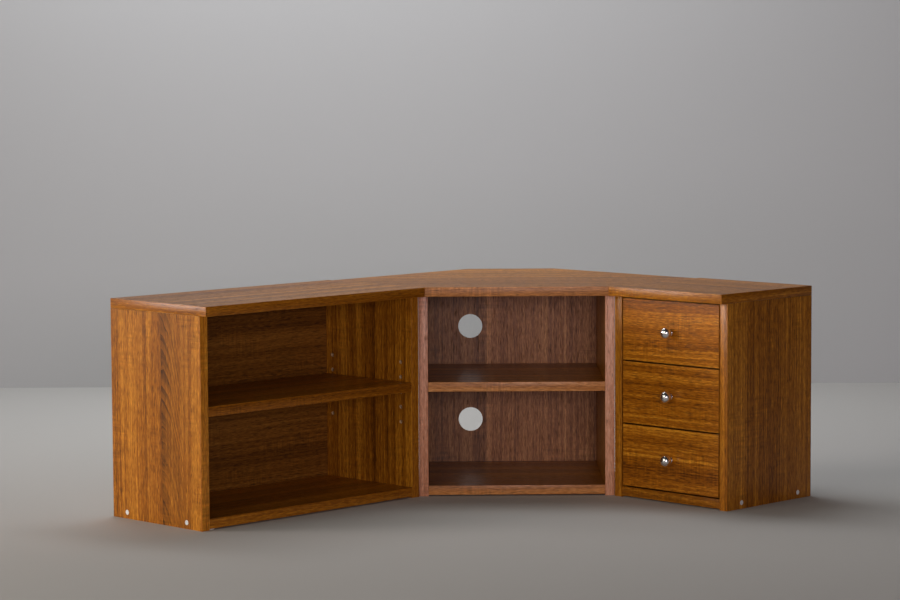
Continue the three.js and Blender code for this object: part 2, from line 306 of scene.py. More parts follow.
def half_arches(t, along, across, seed, start, slope, curve, pitch, strength, reach):
    """Growth rings cut off by the straight line at start, and the zone beside it that they fill.

    They bend along the grain by slope and curve, lie a pitch apart, and fade within reach.
    """
    def cloud(first, second, scale, **noise):
        return t.noise(t.join(
            t.math("MULTIPLY", first, scale[0]), t.math("MULTIPLY", second, scale[1]), seed,
        ), **noise)

    drift = cloud(along, across, DRIFT_SCALE)
    uneven = cloud(along, across, UNEVEN_SCALE)
    side = t.math("SUBTRACT", start, across)
    bent = t.math("MULTIPLY", side, t.math("ADD", t.math("MULTIPLY", side, curve), slope))
    shift = t.math(
        "ADD", t.math("MULTIPLY", drift, DRIFT_RINGS), t.math("MULTIPLY", uneven, UNEVEN_RINGS))
    ring = t.math("ADD", t.math("DIVIDE", t.math("ADD", along, bent), pitch), shift)
    edge = t.math("POWER", t.math("FRACT", ring), RING_EDGE)
    thin = cloud(ring, along, THIN_SCALE)
    fade = t.math("SUBTRACT", 1.0, t.math("DIVIDE", side, reach), clamp=True)
    zone = t.math("MULTIPLY", t.math("POWER", fade, ZONE_FADE), t.math("GREATER_THAN", side, 0.0))
    core = t.math(
        "MULTIPLY", t.math("POWER", fade, CORE_FADE), t.math("MULTIPLY", uneven, CORE_SHADE))
    thin_lines = t.math("MULTIPLY", t.math("SUBTRACT", thin, THIN_LIMIT), THIN_GAIN)
    ring_lines = t.math("MULTIPLY", edge, t.math("ADD", uneven, FAINTEST_RING))
    shadow = t.math("MULTIPLY", t.math("ADD", t.math("ADD", ring_lines, thin_lines), core), zone)
    return t.math("MULTIPLY", shadow, strength), zone


CHIPS_SHARE, DUST_SHARE = 0.6, 0.4


def particle_board():
    """Raw board: pressed chips, seen on unbanded edges and in holes."""
    t = Tree("particle_board")
    place = t.attribute("grain")
    chips = t.nodes.new("ShaderNodeTexVoronoi")
    t.feed(chips.inputs["Vector"], place)
    t.feed(chips.inputs["Scale"], 520.0)
    shade = t.split(chips.outputs["Color"])[0]
    dust = t.noise(place, detail=3.0, scale=1400.0)
    mixed = t.math(
        "ADD", t.math("MULTIPLY", shade, CHIPS_SHARE), t.math("MULTIPLY", dust, DUST_SHARE))
    base = t.ramp(mixed, [
        (0.15, colour(122, 88, 58)), (0.5, colour(186, 150, 108)), (0.85, colour(218, 190, 150)),
    ])
    normal = t.bump(mixed, strength=0.6, distance=0.3 * MM)
    return t.surface(Base_Color=base, Roughness=0.85, Normal=normal)


def metal(name, tone, roughness, brush=0.0, metallic=1.0):
    """Plated metal with faint wear; brush adds fine scratches."""
    t = Tree(name)
    place = t.nodes.new("ShaderNodeTexCoord").outputs["Object"]
    smear = t.noise(place, detail=3.0, scale=260.0)
    fine = t.noise(place, detail=4.0, roughness=0.7, scale=3200.0)
    wear, dull = 0.25, 0.4
    rough = t.math("ADD", roughness, t.math("MULTIPLY", t.math("SUBTRACT", smear, dull), roughness))
    base = t.mix(t.math("MULTIPLY", smear, wear), tone, darker(tone, 0.8))
    normal = t.bump(fine, brush, distance=0.02 * MM)
    return t.surface(Base_Color=base, Metallic=metallic, Roughness=rough, Normal=normal)


def plastic(name, tone, roughness=0.45):
    """Moulded plastic with a fine satin grain."""
    t = Tree(name)
    place = t.nodes.new("ShaderNodeTexCoord").outputs["Object"]
    cloud = t.noise(place, detail=2.0, scale=90.0)
    grain = t.noise(place, detail=2.0, scale=2600.0)
    stain, unevenness = 0.3, 0.15
    base = t.mix(t.math("MULTIPLY", cloud, stain), tone, darker(tone, 0.75))
    rough = t.math(
        "ADD", roughness, t.math("MULTIPLY", t.math("SUBTRACT", cloud, 0.5), unevenness))
    normal = t.bump(grain, strength=0.25, distance=0.05 * MM)
    return t.surface(Base_Color=base, Roughness=rough, Normal=normal)


DARK, MIDDLE, LIGHT = colour(88, 44, 2), colour(156, 93, 16), colour(212, 142, 40)
SIDE_FIGURE = dict(
    start=0.122, slope=0.2, curve=32.0, pitch=31 * MM, strength=0.78, reach=0.118)
WALNUT = laminate("walnut_laminate", DARK, MIDDLE, LIGHT)
WALNUT_TOP = laminate("walnut_laminate_top", DARK, MIDDLE, LIGHT, gloss=0.46)
# A lighter copy of the walnut for the drawers: painted light and sheen on the drawer fronts.
WALNUT_DRAWER_PAINTED_LIGHT = laminate(
    "walnut_laminate_drawer_painted_light", colour(100, 50, 3), colour(174, 102, 16), colour(230, 154, 42),
    ripple=1.1,
)
WALNUT_EDGE = laminate("walnut_edge_band", DARK, MIDDLE, LIGHT, ripple=1.1, contrast=0.8)
WALNUT_FIGURED = laminate(
    "walnut_laminate_figured", DARK, MIDDLE, LIGHT, figure=SIDE_FIGURE, shine=0.12)
WALNUT_EDGE_PALE = laminate(
    "walnut_edge_band_pale", colour(110, 62, 12), colour(184, 112, 26), colour(236, 164, 56),
    ripple=1.1, contrast=0.8,
)
# Pinker, lighter banding for the centre's top, shelf and bottom: painted sheen of the front light
# on these edges.
WALNUT_EDGE_SHEEN = laminate(
    "walnut_edge_band_painted_sheen", colour(123, 75, 35), colour(194, 127, 68), colour(241, 176, 113),
    ripple=1.1, contrast=0.8,
)
# Lighter, pinker banding for the centre sides' fronts: painted sheen, standing in for the front
# light's reflection on these edges.
WALNUT_EDGE_STRONG_SHEEN = laminate(
    "walnut_edge_band_painted_strong_sheen", colour(140, 88, 62), colour(208, 142, 108), colour(244, 188, 156),
    ripple=1.1, contrast=0.8,
)
WALNUT_BACK = laminate(
    "walnut_back_foil", colour(70, 38, 9), colour(124, 76, 24), colour(162, 108, 42), gloss=0.42,
)
# The centre back is lighter and pinker than the other backs: painted front light and sheen. Its
# dark plank is a band of the print.
WALNUT_BACK_PAINTED_SHEEN = laminate(
    "walnut_back_foil_brown", colour(96, 58, 34), colour(168, 110, 66), colour(214, 154, 100),
    gloss=0.38, broad=1.7, dark_plank=(0.135, 0.33),
)
WALNUT_BOX = laminate(
    "walnut_box_foil", colour(120, 76, 36), colour(160, 108, 58), colour(184, 134, 80),
    ripple=0.0, gloss=0.5, contrast=0.7,
)
CORE = particle_board()
CHROME = metal("chrome_plate", (0.94, 0.94, 0.95, 1.0), 0.19)
ZINC = metal("zinc_plate", (0.92, 0.92, 0.90, 1.0), 0.55, brush=0.4)
ZINC_WHITE = metal("zinc_plate_white", (0.80, 0.80, 0.78, 1.0), 0.45, brush=0.4, metallic=0.1)
RUNNER_BROWN = plastic("runner_plastic", colour(88, 62, 42))
GLIDE_WHITE = plastic("glide_plastic", colour(226, 224, 216), 0.4)


# ---- Meshes ----
def finish_object(name, mesh, body, materials, replaced=None):
    for material in materials:
        mesh.materials.append(material)
    shape = bpy.data.objects.new(name, mesh)
    bpy.context.scene.collection.objects.link(shape)
    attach(shape, body)
    if replaced:
        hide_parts(replaced)
    return shape


def prism(outline, thickness, rounding):
    """A board as a bmesh, with banding lines and round edges; its outline is in (along, across)."""
    bm = bmesh.new()
    lower = [bm.verts.new((g, w, 0.0)) for g, w in outline]
    upper = [bm.verts.new((g, w, thickness)) for g, w in outline]
    caps = [bm.faces.new(lower), bm.faces.new(upper)]
    count = len(outline)
    for i in range(count):
        j = (i + 1) % count
        bm.faces.new((lower[i], lower[j], upper[j], upper[i]))
    bmesh.ops.recalc_face_normals(bm, faces=bm.faces)
    bmesh.ops.inset_individual(bm, faces=caps, thickness=BAND, use_even_offset=True)
    sharp = [e for e in bm.edges if e.calc_face_angle(0.0) > ROUNDED_ANGLE]
    bmesh.ops.bevel(
        bm, geom=sharp, offset=rounding, offset_type="OFFSET", segments=3, profile=0.5,
        affect="EDGES", clamp_overlap=True,
    )
    return bm


def add_box(bm, low, high):
    size = high - low
    middle = (low + high) / 2
    bmesh.ops.create_cube(
        bm, size=1.0, matrix=Matrix.Translation(middle) @ Matrix.Diagonal((*size, 1.0)))


def add_turned(bm, profile, place, direction, segments=40):
    """Adds a closed turned shape: profile points are (radius, distance along the direction)."""
    turn = Matrix.Translation(place) @ direction.to_track_quat("Z", "Y").to_matrix().to_4x4()
    rings = []
    for radius, distance in profile:
        if radius == 0.0:
            rings.append([bm.verts.new(turn @ Vector((0, 0, distance)))])
            continue
        ring = []
        for i in range(segments):
            angle = math.tau * i / segments
            flat = Vector((radius * math.cos(angle), radius * math.sin(angle), distance))
            ring.append(bm.verts.new(turn @ flat))
        rings.append(ring)
    faces = []
    for one, two in zip(rings, rings[1:]):
        for i in range(segments):
            j = (i + 1) % segments
            corners = [one[i % len(one)], one[j % len(one)], two[j % len(two)], two[i % len(two)]]
            distinct = list(dict.fromkeys(corners))
            if len(distinct) > 2:
                faces.append(bm.faces.new(distinct))
    bmesh.ops.recalc_face_normals(bm, faces=faces)


def subtract(bm, cutter_bm):
    """The bmesh's shape less the cutters, as a new mesh."""
    objects = []
    for name, source in (("work", bm), ("cutters", cutter_bm)):
        mesh = bpy.data.meshes.new(name)
        source.to_mesh(mesh)
        source.free()
        made = bpy.data.objects.new(name, mesh)
        bpy.context.scene.collection.objects.link(made)
        objects.append(made)
    work, cutters = objects
    change = work.modifiers.new("cut", "BOOLEAN")
    change.operation = "DIFFERENCE"
    change.solver = "EXACT"
    change.object = cutters
    graph = bpy.context.evaluated_depsgraph_get()
    graph.update()
    result = bpy.data.meshes.new_from_object(work.evaluated_get(graph))
    for made in objects:
        bpy.data.objects.remove(made)
    return result


def as_mesh(bm, name, add_cutters=None, cutter_turn=Matrix.Identity(4)):
    """The bmesh as a mesh, less the cutters that add_cutters(bm) makes and cutter_turn moves."""
    if add_cutters:
        cutters = bmesh.new()
        add_cutters(cutters)
        cutters.transform(cutter_turn)
        cutters.normal_update()
        bmesh.ops.recalc_face_normals(cutters, faces=cutters.faces)
        mesh = subtract(bm, cutters)
        mesh.materials.clear()
    else:
        mesh = bpy.data.meshes.new(name)
        bm.to_mesh(mesh)
        bm.free()
    mesh.name = name
    return mesh


def edge_distance(point, start, end):
    """How far a point is from the line through two corners."""
    line = end - start
    return abs(line.x * (point.y - start.y) - line.y * (point.x - start.x)) / line.length


LAMINATE, BANDING, RAW = 0, 1, 2  # the material slots of a board
UP_CAP, DOWN_CAP, FIRST_RIM = 0, 1, 2  # whose offsets are where in a board's list
SLACK = 1.05  # what lies this many band widths from an edge still counts as its banding
CAP_FACING = 0.7  # a face whose normal has more than this along the thickness belongs to a cap


def grain_and_zones(mesh, outline, thickness, banded, offsets):
    """Gives every face its material slot, and every corner its place on the printed grain.

    The place is (along, across, seed), in metres but for the seed.
    """
    corners = [Vector(p) for p in outline]
    edges = [(corners[i], corners[(i + 1) % len(corners)]) for i in range(len(corners))]
    grain = mesh.attributes.new("grain", "FLOAT_VECTOR", "CORNER")
    close = BAND * SLACK
    for face in mesh.polygons:
        points = [mesh.vertices[v].co for v in face.vertices]
        near = [
            i for i, (start, end) in enumerate(edges)
            if all(edge_distance(p.xy, start, end) < close for p in points)
        ]
        low_cap = all(p.z < close for p in points)
        high_cap = all(p.z > thickness - close for p in points)
        face.use_smooth = True
        facing_cap = abs(face.normal.z) > CAP_FACING
        on_band = any(i in banded for i in near)
        if near and (on_band or not facing_cap):
            face.material_index = BANDING if on_band else RAW
        else:
            face.material_index = LAMINATE if facing_cap and (low_cap or high_cap) else RAW
        for loop_index, p in zip(face.loop_indices, points):
            if face.material_index == RAW:
                value = p + Vector((offsets[UP_CAP][0], 0, 0))
            elif facing_cap:
                along, across, seed = offsets[UP_CAP if high_cap else DOWN_CAP]
                value = Vector((p.x + along, p.y + across, seed))
            else:
                start, end = edges[near[0]]
                distance = (p.xy - start).dot((end - start).normalized())
                along, across, seed = offsets[FIRST_RIM + near[0]]
                value = Vector((distance + along, p.z + across, seed))
            grain.data[loop_index].vector = value


def random_offsets(count):
    furthest = 9
    return [tuple(rng.uniform(0, furthest) for _ in range(3)) for _ in range(count)]


def board(node, grain_axis, thick_axis, banded, faces=None, edge=None, cutter=None,
          outline=None, rounding=ROUNDING, offset=None):
    """Replaces a CAD board by a finished one.

    banded lists the outline's edges that have banding, faces and edge are materials, cutter(bm)
    adds cutters in the cabinet's frame, and offset places both faces on the printed grain.
    """
    low, high = local_box(node)
    across_axis = 3 - grain_axis - thick_axis
    size = high - low
    axes = Matrix((unit(grain_axis), unit(across_axis), unit(thick_axis))).transposed().to_4x4()
    to_cabinet = Matrix.Translation(low) @ axes
    thickness = size[thick_axis]
    if outline is None:
        length, width = size[grain_axis], size[across_axis]
        outline = [(0.0, 0.0), (length, 0.0), (length, width), (0.0, width)]
    bm = prism(outline, thickness, rounding)
    mesh = as_mesh(bm, node + "_shape", cutter, to_cabinet.inverted())
    offsets = random_offsets(FIRST_RIM + len(outline))
    if offset:
        offsets[UP_CAP] = offsets[DOWN_CAP] = offset
    grain_and_zones(mesh, outline, thickness, banded, offsets)
    mesh.transform(placing(node) @ to_cabinet)
    if to_cabinet.determinant() < 0:
        mesh.flip_normals()
    mesh.set_sharp_from_angle(angle=BOARD_SHARP_ANGLE)
    materials = (faces or WALNUT, edge or WALNUT_EDGE, CORE)
    return finish_object(node + "_board", mesh, body_of_node(node), materials, node)


def shade_piece(mesh, node):
    """Smooths a piece of one material and turns it from the node's cabinet into place."""
    for face in mesh.polygons:
        face.use_smooth = True
        face.material_index = 0
    mesh.transform(placing(node))
    mesh.set_sharp_from_angle(angle=PIECE_SHARP_ANGLE)


def turned_piece(node, name, profile, place, direction, body, material, segments=48,
                 recess=None):
    """A turned piece in the cabinet's frame of the node; recess(bm) adds cutters to its head."""
    bm = bmesh.new()
    add_turned(bm, profile, place, direction, segments)
    mesh = as_mesh(bm, name + "_shape", recess)
    shade_piece(mesh, node)
    return finish_object(name, mesh, body, (material,))


def arc(centre, radius, start, end, steps):
    """Profile points on an arc, angles in degrees from the outward direction."""
    points = []
    for i in range(steps + 1):
        angle = math.radians(start + (end - start) * i / steps)
        points.append((centre[0] + radius * math.cos(angle), centre[1] + radius * math.sin(angle)))
    return points


# ---- Screws through the sides ----
SCREW_HEAD_R, SCREW_HEAD_H, SCREW_TAPER = 5 * MM, 1.2 * MM, 2.4 * MM
SCREW_SHANK_R, SCREW_SHANK_END, SCREW_CORE_R, SCREW_END = 3.4 * MM, 16 * MM, 2.5 * MM, 48 * MM
SCREW_CHAMFER, SCREW_TIP_R, SCREW_TIP_LENGTH = 0.4 * MM, 0.8 * MM, 4 * MM
THREAD_R, THREAD_PITCH, THREAD_FOOT = 3.0 * MM, 2.6 * MM, 0.3 * MM
HEX_R, HEX_DEPTH, HEX_POINT = 2.0 * MM, 2.0 * MM, 0.8 * MM
HEAD_SHARE = 0.95  # a CAD point beyond this share of the head's radius is on the head


def screw_place(node):
    """Head centre and inward direction of a screw that lies along the cabinet's x axis."""
    low, high = local_box(node)
    middle = (low + high) / 2
    points = local_points(node)
    widest = [p for p in points if (p.yz - middle.yz).length > SCREW_HEAD_R * HEAD_SHARE]
    head_x = sum(p.x for p in widest) / len(widest)
    inward = 1.0 if head_x < middle.x else -1.0
    start = low.x if inward > 0 else high.x
    return Vector((start, middle.y, middle.z)), Vector((inward, 0, 0))


def screw_clearance():
    """The profile of a screw's hole, a little wider than the screw."""
    cone_end = SCREW_HEAD_H + SCREW_TAPER
    return [
        (0.0, -PAST), (SCREW_HEAD_R + FIT, -PAST), (SCREW_HEAD_R + FIT, SCREW_HEAD_H),
        (SCREW_SHANK_R + FIT, cone_end), (SCREW_SHANK_R + FIT, SCREW_SHANK_END + FIT),
        (THREAD_R + FIT, SCREW_SHANK_END + FIT), (THREAD_R + FIT, SCREW_END + FIT),
        (0.0, SCREW_END + FIT),
    ]


def screw_profile():
    """A flat head, its taper, a plain shank, rings for the thread and a blunt tip."""
    cone_end = SCREW_HEAD_H + SCREW_TAPER
    profile = [
        (0.0, 0.0), (SCREW_HEAD_R - SCREW_CHAMFER, 0.0), (SCREW_HEAD_R, SCREW_CHAMFER),
        (SCREW_HEAD_R, SCREW_HEAD_H), (SCREW_SHANK_R, cone_end), (SCREW_SHANK_R, SCREW_SHANK_END),
    ]
    thread_end = SCREW_END - SCREW_TIP_LENGTH
    for i in range(int((thread_end - SCREW_SHANK_END) / THREAD_PITCH)):
        start = SCREW_SHANK_END + i * THREAD_PITCH
        profile += [(SCREW_CORE_R, start + THREAD_FOOT), (THREAD_R, start + THREAD_PITCH / 2)]
    return profile + [(SCREW_CORE_R, thread_end), (SCREW_TIP_R, SCREW_END), (0.0, SCREW_END)]


def side_screws():
    for node in sorted(n for n in frame["nodes"] if "_side_screw_" in n):
        place, inward = screw_place(node)

        def recess(bm, place=place, inward=inward):
            hexagon = [
                (0.0, -PAST), (HEX_R, -PAST), (HEX_R, HEX_DEPTH), (0.0, HEX_DEPTH + HEX_POINT)]
            add_turned(bm, hexagon, place, inward, segments=6)

        piece = turned_piece(
            node, node + "_zinc", screw_profile(), place, inward, body_of_node(node),
            ZINC_WHITE, recess=recess,
        )
        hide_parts(node)


# ---- The cases ----
FRONT, RIGHT_END, REAR, LEFT_END = 0, 1, 2, 3  # the edges of a board's outline
ALL_ROUND = (FRONT, RIGHT_END, REAR, LEFT_END)
PIN_PITCH = 32 * MM
PIN_STEPS = (-2, -1, 0, 1, 2)
CHIPPED = 1.5 * MM  # the board's pale core shows round each pin hole
PIN_HOLE_SPARE, PIN_HOLE_POINT = 1 * MM, 0.5 * MM
OUTLINE_DECIMALS = 5  # so that the upper and lower end of an upright edge count once
SIDE_OFFSET = (0.0, 0.0, 2.6)  # places the figured side's half arches
BACK_OFFSET = (0.0, 0.0, 5.4)  # places the centre back's dark plank
BAND_OF_SIDE = {
    ("left", "outer_side"): WALNUT_EDGE_PALE,
    # the centre sides' fronts get the banding with the painted sheen
    ("centre", "left_side"): WALNUT_EDGE_STRONG_SHEEN,
    ("centre", "right_side"): WALNUT_EDGE_STRONG_SHEEN,
    ("right", "outer_side"): WALNUT_EDGE_PALE,
}


def add_screw_holes(bm, prefix, side):
    for row in ("front", "rear"):
        place, inward = screw_place(f"{prefix}_{side}_screw_{row}")
        add_turned(bm, screw_clearance(), place, inward)


def case_cutter(prefix, side, pins=False):
    """Cutters of one side: the back panel's groove, the screw holes and the shelf-pin holes."""
    def cut(bm):
        low, high = local_box(f"{prefix}_back", FIT)
        low.z, high.z = -PAST, high.z + PAST
        side_low, side_high = local_box(f"{prefix}_{side}")
        if (low.x + high.x) / 2 > side_high.x:
            high.x = side_high.x + PAST
        else:
            low.x = side_low.x - PAST
        add_box(bm, low, high)
        add_screw_holes(bm, prefix, side)
        if pins:
            add_pin_holes(bm, side)
    return cut


def add_pin_holes(bm, side):
    """Two columns of blind holes with chipped rims; the pins sit in the middle ones."""
    name = side.removesuffix("_side")
    out = 1.0 if name == "outer" else -1.0
    side_low, side_high = local_box(f"left_{side}")
    face_x = side_high.x if out > 0 else side_low.x
    for row in ("front", "rear"):
        low, high = local_box(f"left_shelf_pin_{name}_{row}")
        middle = (low + high) / 2
        deep = (face_x - low.x) if out > 0 else (high.x - face_x)
        radius = (high.z - low.z) / 2 + FIT
        mouth = deep + PIN_HOLE_SPARE
        hole = [
            (0.0, 0.0), (radius, PIN_HOLE_POINT), (radius, mouth - CHIPPED),
            (radius + CHIPPED, mouth), (radius + CHIPPED, mouth + PAST), (0.0, mouth + PAST),
        ]
        for step in PIN_STEPS:
            start = Vector((face_x - out * mouth, middle.y, middle.z + step * PIN_PITCH))
            add_turned(bm, hole, start, Vector((out, 0, 0)), segments=28)


def bottom_cutter(prefix, sides):
    def cut(bm):
        for side in sides:
            add_screw_holes(bm, prefix, side)
    return cut


def straight_case(prefix, sides):
    """The two sides and the bottom of one cabinet."""
    for side in sides:
        figured = prefix == "left" and side == "outer_side"
        board(
            f"{prefix}_{side}", Z, X, (FRONT,),
            faces=WALNUT_FIGURED if figured else None,
            edge=BAND_OF_SIDE.get((prefix, side)),
            cutter=case_cutter(prefix, side, pins=prefix == "left"),
            offset=SIDE_OFFSET if figured else None,
        )
    board(
        f"{prefix}_bottom", X, Z, (FRONT,), cutter=bottom_cutter(prefix, sides),
        edge=WALNUT_EDGE_SHEEN if prefix == "centre" else None,
    )


def centre_outline():
    """The six corners of the corner top, anticlockwise from the front left, from the CAD node."""
    low, _ = local_box("centre_top")
    points = {
        (round(p.x - low.x, OUTLINE_DECIMALS), round(p.y - low.y, OUTLINE_DECIMALS))
        for p in local_points("centre_top")
    }
    middle_x = sum(x for x, _ in points) / len(points)
    middle_y = sum(y for _, y in points) / len(points)

    def bearing(point):
        return math.atan2(point[1] - middle_y, point[0] - middle_x)

    ordered = sorted(points, key=bearing)
    first = min(range(len(ordered)), key=lambda i: (ordered[i][1], ordered[i][0]))
    return ordered[first:] + ordered[:first]


def cable_holes(bm):
    """Cutters for the back's round holes, which the record lists as openings."""
    node = "centre_back"
    low, high = local_box(node)
    for opening in frame["record"]["physics"]["openings"]:
        if not opening["name"].startswith("cable_hole"):
            continue
        (x0, _, z0), (x1, _, z1) = opening["box_m"]
        centre = Vector(((x0 + x1) / 2, low.y - PAST, (z0 + z1) / 2))
        rim = min((p.xz - centre.xz).length for p in local_points(node))
        length = high.y - low.y + 2 * PAST
        bore = [(0.0, 0.0), (rim, 0.0), (rim, length), (0.0, length)]
        add_turned(bm, bore, centre, unit(Y), segments=96)


def build_cases():
    straight_case("left", ("outer_side", "inner_side"))
    straight_case("centre", ("left_side", "right_side"))
    straight_case("right", ("inner_side", "outer_side"))
    board("left_back", X, Y, (), faces=WALNUT_BACK, rounding=THIN_ROUNDING)
    board("right_back", Z, Y, (), faces=WALNUT_BACK, rounding=THIN_ROUNDING)
    board(
        "centre_back", Z, Y, (), faces=WALNUT_BACK_PAINTED_SHEEN, cutter=cable_holes,
        rounding=THIN_ROUNDING, offset=BACK_OFFSET,
    )
    board("left_top", X, Z, ALL_ROUND, faces=WALNUT_TOP)
    board("right_top", X, Z, ALL_ROUND, faces=WALNUT_TOP)
    outline = centre_outline()
    board(
        "centre_top", X, Z, range(len(outline)), faces=WALNUT_TOP,
        edge=WALNUT_EDGE_SHEEN, outline=outline,
    )
    board("left_shelf", X, Z, ALL_ROUND)
    board("centre_shelf", X, Z, (FRONT,), edge=WALNUT_EDGE_SHEEN)


# ---- Shelf pins ----
PIN_EDGE = 0.6 * MM  # radius of the pins' rounded ends


def shelf_pins():
    for node in sorted(n for n in frame["nodes"] if "_shelf_pin_" in n):
        low, high = local_box(node)
        radius = (high.z - low.z) / 2
        length = high.x - low.x
        profile = [(0.0, 0.0)] + arc((radius - PIN_EDGE, PIN_EDGE), PIN_EDGE, -90, 0, 4)
        profile += arc((radius - PIN_EDGE, length - PIN_EDGE), PIN_EDGE, 0, 90, 4)
        profile += [(0.0, length)]
        place = Vector((low.x, (low.y + high.y) / 2, (low.z + high.z) / 2))
        piece = turned_piece(
            node, node + "_steel", profile, place, unit(X), body_of_node(node), ZINC)
        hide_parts(node)


# ---- Drawers ----
DRAWERS = ("drawer_bottom", "drawer_middle", "drawer_top")
CROSS_SLOT_SHARE = 0.26  # width of a cross recess's slots, as a share of their length
KNOB_FOOT_R, KNOB_WAIST_R, KNOB_HEAD_R = 7.0 * MM, 5.4 * MM, 12.0 * MM
KNOB_UNDER, KNOB_WIDEST = 5.2 * MM, 14.5 * MM  # how far from the front the head starts, is widest
KNOB_FOOT_INSET, KNOB_FOOT_HEIGHT, KNOB_FOOT_EDGE = 0.5 * MM, 0.7 * MM, 0.6 * MM
KNOB_FOOT_END, KNOB_FLARE = 1.7 * MM, 1.1 * MM
KNOB_UNDER_ANGLE = 64  # degrees of the head's flank below its widest ring
KNOB_FLANK_POWER, PAN_POWER = 0.5, 0.8  # below 1 makes a round shape fuller
KNOB_HOLE_R, KNOB_SHANK_R = 2.3 * MM, 2.0 * MM
KNOB_CROSS, KNOB_CROSS_DEPTH = 3.6 * MM, 1.4 * MM
RUNNER_PLAY, RUNNER_ROUNDING = 0.6 * MM, 1.2 * MM
FIXING_PLACES = (0.12, 0.88)  # shares of a runner's length
FIXING_HEAD_R, FIXING_HEAD_H, FIXING_SINK = 3.4 * MM, 1.4 * MM, 2.2 * MM
FIXING_SHANK_R, FIXING_LENGTH = 1.6 * MM, 7.0 * MM
FIXING_CROSS, FIXING_CROSS_DEPTH = 3.2 * MM, 1.0 * MM


def knob_profile(reach):
    """A mushroom knob: a foot ring, a waist and a thick domed head, from the front outwards."""
    foot_edge = (KNOB_FOOT_R - KNOB_FOOT_EDGE, KNOB_FOOT_HEIGHT)
    profile = [(0.0, 0.0), (KNOB_FOOT_R - KNOB_FOOT_INSET, 0.0)]
    profile += arc(foot_edge, KNOB_FOOT_EDGE, -60, 70, 5)
    steps = 6
    for i in range(steps + 1):
        share = i / steps
        radius = KNOB_WAIST_R + KNOB_FLARE * (1 - share) ** 3
        profile.append((radius, KNOB_FOOT_END + share * (KNOB_UNDER - KNOB_FOOT_END)))
    steps = 12
    for i in range(steps):
        angle = math.radians(KNOB_UNDER_ANGLE * (i / steps - 1))
        radius = KNOB_HEAD_R * math.cos(angle) ** KNOB_FLANK_POWER
        profile.append((radius, KNOB_WIDEST + (KNOB_WIDEST - KNOB_UNDER) * math.sin(angle)))
    steps = 22
    for i in range(steps + 1):
        angle = math.radians(90) * i / steps
        radius = 0.0 if i == steps else KNOB_HEAD_R * math.cos(angle)
        profile.append((radius, KNOB_WIDEST + (reach - KNOB_WIDEST) * math.sin(angle)))
    return profile


def pan_screw_profile(radius, height, shank, length):
    """Head domed towards negative distances, shank towards positive ones."""
    head = [(0.0, -height)]
    steps = 7
    for i in range(1, steps + 1):
        angle = math.radians(90) * i / steps
        head.append((radius * math.sin(angle), -height * math.cos(angle) ** PAN_POWER))
    return head + [(radius, 0.0), (shank, 0.0), (shank, length - shank), (0.0, length)]


def cross_recess(bm, place, direction, size, depth):
    """Adds a cross-shaped cutter that narrows towards its floor."""
    turn = Matrix.Translation(place) @ direction.to_track_quat("Z", "Y").to_matrix().to_4x4()
    half = size * CROSS_SLOT_SHARE / 2
    rings = []
    for level, reach in ((-depth, size / 2), (depth, size / 4)):
        ring = []
        for quarter in range(4):
            spin = Matrix.Rotation(quarter * math.pi / 2, 4, "Z")
            for x, y in ((reach, -half), (reach, half), (half, half)):
                ring.append(bm.verts.new(turn @ spin @ Vector((x, y, level))))
        rings.append(ring)
    mouth, floor = rings
    bm.faces.new(mouth[::-1])
    bm.faces.new(floor)
    for i, corner in enumerate(mouth):
        j = (i + 1) % len(mouth)
        bm.faces.new((corner, mouth[j], floor[j], floor[i]))


def front_cutter(drawer):
    """Cutters of a drawer's front: the tray's groove and the knob screw's hole."""
    def cut(bm):
        low, high = local_box(f"{drawer}_tray", FIT)
        add_box(bm, low, high)
        low, high = local_box(f"{drawer}_knob_screw")
        middle = (low + high) / 2
        front_low, front_high = local_box(f"{drawer}_front")
        length = front_high.y - front_low.y + 2 * PAST
        hole = [(0.0, 0.0), (KNOB_HOLE_R, 0.0), (KNOB_HOLE_R, length), (0.0, length)]
        add_turned(bm, hole, Vector((middle.x, front_low.y - PAST, middle.z)), unit(Y), segments=24)
    return cut


def side_cutter(drawer, side):
    """Cutters of a drawer's side: the tray's groove and the runner's groove."""
    def cut(bm):
        low, high = local_box(f"{drawer}_tray", FIT)
        high.y += PAST
        add_box(bm, low, high)
        low, high = local_box(f"{drawer}_runner_{side}", RUNNER_PLAY)
        box_low, box_high = local_box(f"{drawer}_{side}_side")
        low.y, high.y = box_low.y - PAST, box_high.y + PAST
        add_box(bm, low, high)
    return cut


def knob_and_screw(drawer):
    node = f"{drawer}_knob"
    low, high = local_box(node)
    place = Vector(((low.x + high.x) / 2, high.y, (low.z + high.z) / 2))
    outward = unit(Y, -1.0)
    knob = turned_piece(
        node, f"{drawer}_knob_chrome", knob_profile(high.y - low.y), place, outward,
        body_of_node(node), CHROME, segments=72,
    )
    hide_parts(node)
    node = f"{drawer}_knob_screw"
    low, high = local_box(node)
    front_high = local_box(f"{drawer}_front")[1]
    seat = Vector(((low.x + high.x) / 2, front_high.y + FIT, (low.z + high.z) / 2))
    height = high.y - seat.y
    profile = pan_screw_profile((high.z - low.z) / 2, height, KNOB_SHANK_R, seat.y - low.y)

    def recess(bm):
        cross_recess(bm, seat - outward * height, outward, KNOB_CROSS, KNOB_CROSS_DEPTH)

    screw = turned_piece(
        node, f"{drawer}_knob_screw_zinc", profile, seat, outward, body_of_node(node),
        ZINC, recess=recess,
    )
    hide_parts(node)


